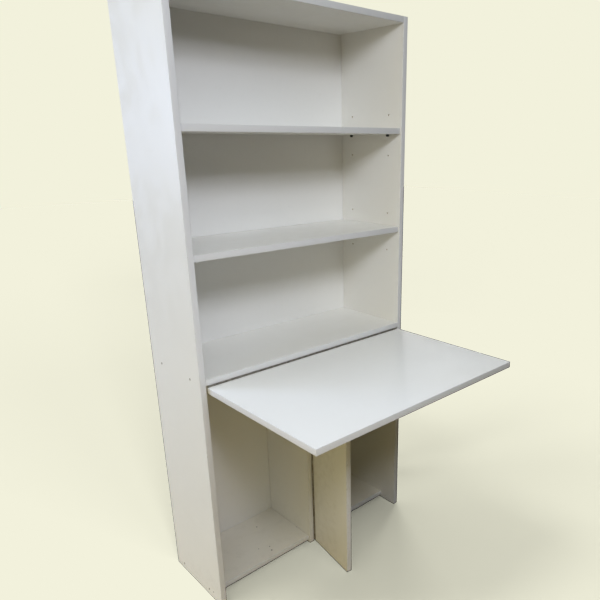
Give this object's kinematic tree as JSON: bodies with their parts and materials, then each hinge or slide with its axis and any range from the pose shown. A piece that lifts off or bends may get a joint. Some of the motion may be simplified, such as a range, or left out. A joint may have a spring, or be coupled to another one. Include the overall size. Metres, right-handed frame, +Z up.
{
  "type": "secretary desk",
  "caption": "White board bookcase with adjustable shelves, a fixed desk-level shelf with a piano-hinged desk flap, and a hinged gate leg that swings out under it.",
  "frame": {"origin": "On the floor, under the middle of the desk's outline with its flap level and its leg swung out.", "axes": "+Z up. The cabinet faces -Y, so the flap reaches towards -Y and the back board is at +Y. +X is to the right of the cabinet's own width as its user faces it."},
  "size_m": [0.82, 0.771, 1.77],
  "materials": {
    "melamine": "white melamine-faced chipboard, satin, with white edge band",
    "hardboard": "white-lacquered thin hardboard, satin",
    "hinge_steel": "dark, tarnished continuous hinge",
    "screw_zinc": "zinc-plated screws",
    "pin_black": "black shelf support pins",
    "beech": "plain beech dowel",
    "glide_plastic": "off-white nail-on glide"
  },
  "bodies": {
    "cabinet": {"back_panel": "hardboard", "bottom_panel_left": "melamine", "bottom_panel_right": "melamine", "connector_base_left_1": "screw_zinc", "connector_base_left_2": "screw_zinc", "connector_base_right_1": "screw_zinc", "connector_base_right_2": "screw_zinc", "connector_desk_left_1": "screw_zinc", "connector_desk_left_2": "screw_zinc", "connector_desk_right_1": "screw_zinc", "connector_desk_right_2": "screw_zinc", "connector_top_left_1": "screw_zinc", "connector_top_left_2": "screw_zinc", "connector_top_right_1": "screw_zinc", "connector_top_right_2": "screw_zinc", "desk_shelf": "melamine", "divider_panel": "melamine", "dowel_base_left_1": "beech", "dowel_base_left_2": "beech", "dowel_base_right_1": "beech", "dowel_base_right_2": "beech", "dowel_divider_top_1": "beech", "dowel_divider_top_2": "beech", "flap_hinge_leaf_fixed": "hinge_steel", "flap_hinge_pin": "hinge_steel", "flap_hinge_screw_fixed_1": "screw_zinc", "flap_hinge_screw_fixed_2": "screw_zinc", "flap_hinge_screw_fixed_3": "screw_zinc", "flap_hinge_screw_fixed_4": "screw_zinc", "leg_hinge_leaf_fixed": "hinge_steel", "leg_hinge_pin": "hinge_steel", "leg_hinge_screw_fixed_1": "screw_zinc", "leg_hinge_screw_fixed_2": "screw_zinc", "leg_hinge_screw_fixed_3": "screw_zinc", "shelf_middle": "melamine", "shelf_pin_middle_left_front": "pin_black", "shelf_pin_middle_left_rear": "pin_black", "shelf_pin_middle_right_front": "pin_black", "shelf_pin_middle_right_rear": "pin_black", "shelf_pin_upper_left_front": "pin_black", "shelf_pin_upper_left_rear": "pin_black", "shelf_pin_upper_right_front": "pin_black", "shelf_pin_upper_right_rear": "pin_black", "shelf_upper": "melamine", "side_panel_left": "melamine", "side_panel_right": "melamine", "top_panel": "melamine"},
    "flap": {"desk_flap": "melamine", "flap_hinge_leaf_moving": "hinge_steel", "flap_hinge_screw_moving_1": "screw_zinc", "flap_hinge_screw_moving_2": "screw_zinc", "flap_hinge_screw_moving_3": "screw_zinc", "flap_hinge_screw_moving_4": "screw_zinc"},
    "leg": {"gate_leg": "melamine", "leg_glide": "glide_plastic", "leg_hinge_leaf_moving": "hinge_steel", "leg_hinge_screw_moving_1": "screw_zinc", "leg_hinge_screw_moving_2": "screw_zinc", "leg_hinge_screw_moving_3": "screw_zinc"}
  },
  "joints": [
    {"name": "flap_lift", "type": "hinge", "parent": "cabinet", "child": "flap", "pos_m": [0, 0.0875, 0.7595], "axis": [-1, 0, 0], "range_deg": [0, 90]},
    {"name": "leg_swing", "type": "hinge", "parent": "cabinet", "child": "leg", "pos_m": [0.0103, 0.1351, 0], "axis": [0, 0, 1], "range_deg": [-82, 98]}
  ]
}
